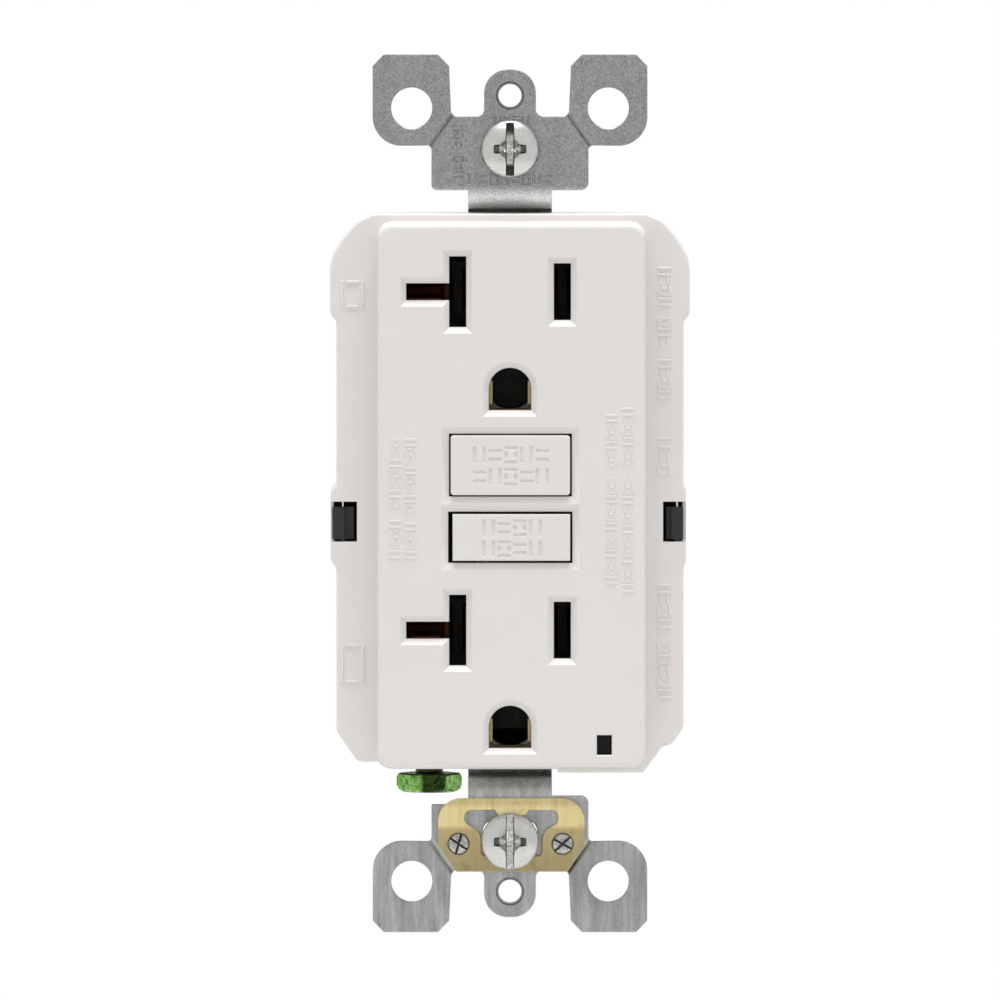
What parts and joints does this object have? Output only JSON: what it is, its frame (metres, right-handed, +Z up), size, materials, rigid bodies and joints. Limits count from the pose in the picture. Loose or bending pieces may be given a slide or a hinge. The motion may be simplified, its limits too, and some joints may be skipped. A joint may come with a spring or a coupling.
{
  "type": "duplex ground-fault receptacle",
  "caption": "White flush wall receptacle with T-slot outlets, test and reset buttons, a steel mounting strap with break-off ears, side wire terminals and a closed trip mechanism.",
  "frame": {"origin": "centre between the two mounting screws, on the back plane of the strap's ears, which rests on the wall box", "axes": "+Y into the wall, so the face looks along -Y; +Z up the device's length; +X to the right as seen from the front"},
  "size_m": [0.0436, 0.0337, 0.1068],
  "materials": {
    "cover_white": "fine satin moulded thermoplastic",
    "housing_black": "matt moulded thermoset",
    "carrier_grey": "matt moulded nylon",
    "zinc": "galvanised sheet steel",
    "screw_zinc": "bright zinc plate",
    "spring_steel": "bright wire and strip",
    "brass": "rolled brass strip",
    "bronze": "phosphor bronze strip",
    "green": "green dyed zinc plate",
    "fibre": "vulcanised fibre",
    "board_green": "solder-masked laminate",
    "copper": "enamelled copper wire",
    "component": "moulded epoxy",
    "varistor_blue": "dipped epoxy",
    "clear": "smoked clear plastic"
  },
  "bodies": {
    "device": {"front_cover": "cover_white", "rear_housing": "housing_black", "mounting_strap": "zinc", "grounding_clip": "brass", "clip_rivet_left": "zinc", "clip_rivet_right": "zinc", "assembly_screw_upper_left": "screw_zinc", "assembly_screw_upper_right": "screw_zinc", "assembly_screw_lower_left": "screw_zinc", "assembly_screw_lower_right": "screw_zinc", "ground_contact_upper": "brass", "ground_contact_lower": "brass", "neutral_contact_strip": "bronze", "hot_contact_strip": "bronze", "line_neutral_terminal": "brass", "line_hot_terminal": "brass", "contact_carrier": "carrier_grey", "circuit_board": "board_green", "coil_housing": "housing_black", "sense_coil": "copper", "neutral_coil": "copper", "solenoid_bobbin": "housing_black", "solenoid_winding": "copper", "solenoid_frame": "zinc", "varistor": "varistor_blue", "capacitor": "component", "control_chip": "component", "thyristor": "component", "resistor": "fibre", "status_light": "clear", "light_pipe": "clear", "test_blade": "bronze", "reset_spring": "spring_steel", "test_spring": "spring_steel", "plunger_spring": "spring_steel"},
    "reset": {"reset_button": "cover_white", "reset_pin": "spring_steel"},
    "test": {"test_button": "cover_white"},
    "latch": {"latch_block": "carrier_grey"},
    "latch_slide": {"latch_plate": "spring_steel"},
    "plunger": {"solenoid_plunger": "spring_steel"},
    "hot_arm": {"hot_contact_arm": "bronze"},
    "neutral_arm": {"neutral_contact_arm": "bronze"},
    "retainer_upper": {"screw_retainer_upper": "fibre"},
    "retainer_lower": {"screw_retainer_lower": "fibre"},
    "mounting_screw_upper": {"mounting_screw_upper": "screw_zinc"},
    "mounting_screw_lower": {"mounting_screw_lower": "screw_zinc"},
    "ground_screw": {"ground_screw": "green"},
    "line_hot_clamp": {"line_hot_clamp": "screw_zinc"},
    "line_hot_screw": {"line_hot_screw": "brass"},
    "line_neutral_clamp": {"line_neutral_clamp": "screw_zinc"},
    "line_neutral_screw": {"line_neutral_screw": "screw_zinc"},
    "load_hot_clamp": {"load_hot_clamp": "screw_zinc"},
    "load_hot_screw": {"load_hot_screw": "brass"},
    "load_neutral_clamp": {"load_neutral_clamp": "screw_zinc"},
    "load_neutral_screw": {"load_neutral_screw": "screw_zinc"}
  },
  "joints": [
    {"name": "reset_press", "type": "slide", "parent": "device", "child": "reset", "axis": [0, 1, 0], "range_m": [0, 0.0018], "stiffness_N_per_m": 1200, "springref_m": -0.003, "deforming": ["reset_spring"]},
    {"name": "test_press", "type": "slide", "parent": "device", "child": "test", "axis": [0, 1, 0], "range_m": [0, 0.0015], "stiffness_N_per_m": 600, "springref_m": -0.003, "deforming": ["test_spring"]},
    {"name": "latch_lift", "type": "slide", "parent": "device", "child": "latch", "axis": [0, 1, 0], "range_m": [0, 0.0018]},
    {"name": "hot_arm_swing", "type": "hinge", "parent": "device", "child": "hot_arm", "pos_m": [0.0071, 0.01145, -0.009], "axis": [-1, 0, 0], "range_deg": [0, 5.2]},
    {"name": "neutral_arm_swing", "type": "hinge", "parent": "device", "child": "neutral_arm", "pos_m": [-0.0071, 0.01145, -0.009], "axis": [-1, 0, 0], "range_deg": [0, 5.2]},
    {"name": "plunger_pull", "type": "slide", "parent": "device", "child": "plunger", "axis": [0, 0, -1], "range_m": [0, 0.002], "stiffness_N_per_m": 120, "springref_m": -0.003, "deforming": ["plunger_spring"]},
    {"name": "latch_plate_slide", "type": "slide", "parent": "latch", "child": "latch_slide", "axis": [0, 0, -1], "range_m": [0, 0.002]},
    {"name": "screw_shift_upper", "type": "slide", "parent": "device", "child": "retainer_upper", "axis": [1, 0, 0], "range_m": [-0.0014, 0.0014]},
    {"name": "mounting_screw_turn_upper", "type": "hinge", "parent": "retainer_upper", "child": "mounting_screw_upper", "pos_m": [0, 0.008, 0.04197], "axis": [0, 1, 0], "continuous": true},
    {"name": "screw_shift_lower", "type": "slide", "parent": "device", "child": "retainer_lower", "axis": [1, 0, 0], "range_m": [-0.0015, 0.0015]},
    {"name": "mounting_screw_turn_lower", "type": "hinge", "parent": "retainer_lower", "child": "mounting_screw_lower", "pos_m": [0, 0.008, -0.04227], "axis": [0, 1, 0], "continuous": true},
    {"name": "ground_screw_turn", "type": "hinge", "parent": "device", "child": "ground_screw", "pos_m": [-0.00985, 0.0096, -0.033], "axis": [0, 0, 1], "continuous": true},
    {"name": "line_hot_clamp_slide", "type": "slide", "parent": "device", "child": "line_hot_clamp", "axis": [-1, 0, 0], "range_m": [0, 0.0018]},
    {"name": "line_hot_screw_turn", "type": "hinge", "parent": "line_hot_clamp", "child": "line_hot_screw", "pos_m": [0.018, 0.017, -0.0135], "axis": [-1, 0, 0], "range_deg": [0, 816.2]},
    {"name": "line_neutral_clamp_slide", "type": "slide", "parent": "device", "child": "line_neutral_clamp", "axis": [1, 0, 0], "range_m": [0, 0.0018]},
    {"name": "line_neutral_screw_turn", "type": "hinge", "parent": "line_neutral_clamp", "child": "line_neutral_screw", "pos_m": [-0.018, 0.017, -0.0135], "axis": [1, 0, 0], "range_deg": [0, 816.2]},
    {"name": "load_hot_clamp_slide", "type": "slide", "parent": "device", "child": "load_hot_clamp", "axis": [-1, 0, 0], "range_m": [0, 0.0018]},
    {"name": "load_hot_screw_turn", "type": "hinge", "parent": "load_hot_clamp", "child": "load_hot_screw", "pos_m": [0.018, 0.017, 0.0135], "axis": [-1, 0, 0], "range_deg": [0, 816.2]},
    {"name": "load_neutral_clamp_slide", "type": "slide", "parent": "device", "child": "load_neutral_clamp", "axis": [1, 0, 0], "range_m": [0, 0.0018]},
    {"name": "load_neutral_screw_turn", "type": "hinge", "parent": "load_neutral_clamp", "child": "load_neutral_screw", "pos_m": [-0.018, 0.017, 0.0135], "axis": [1, 0, 0], "range_deg": [0, 816.2]}
  ],
  "couplings": [
    {"joint": "latch_lift", "follows": "reset_press", "ratio": 1},
    {"joint": "hot_arm_swing", "follows": "reset_press", "rad_per_m": 50},
    {"joint": "neutral_arm_swing", "follows": "reset_press", "rad_per_m": 50},
    {"joint": "latch_plate_slide", "follows": "plunger_pull", "ratio": 1},
    {"joint": "line_hot_screw_turn", "follows": "line_hot_clamp_slide", "rad_per_m": 7913.3},
    {"joint": "line_neutral_screw_turn", "follows": "line_neutral_clamp_slide", "rad_per_m": 7913.3},
    {"joint": "load_hot_screw_turn", "follows": "load_hot_clamp_slide", "rad_per_m": 7913.3},
    {"joint": "load_neutral_screw_turn", "follows": "load_neutral_clamp_slide", "rad_per_m": 7913.3}
  ]
}
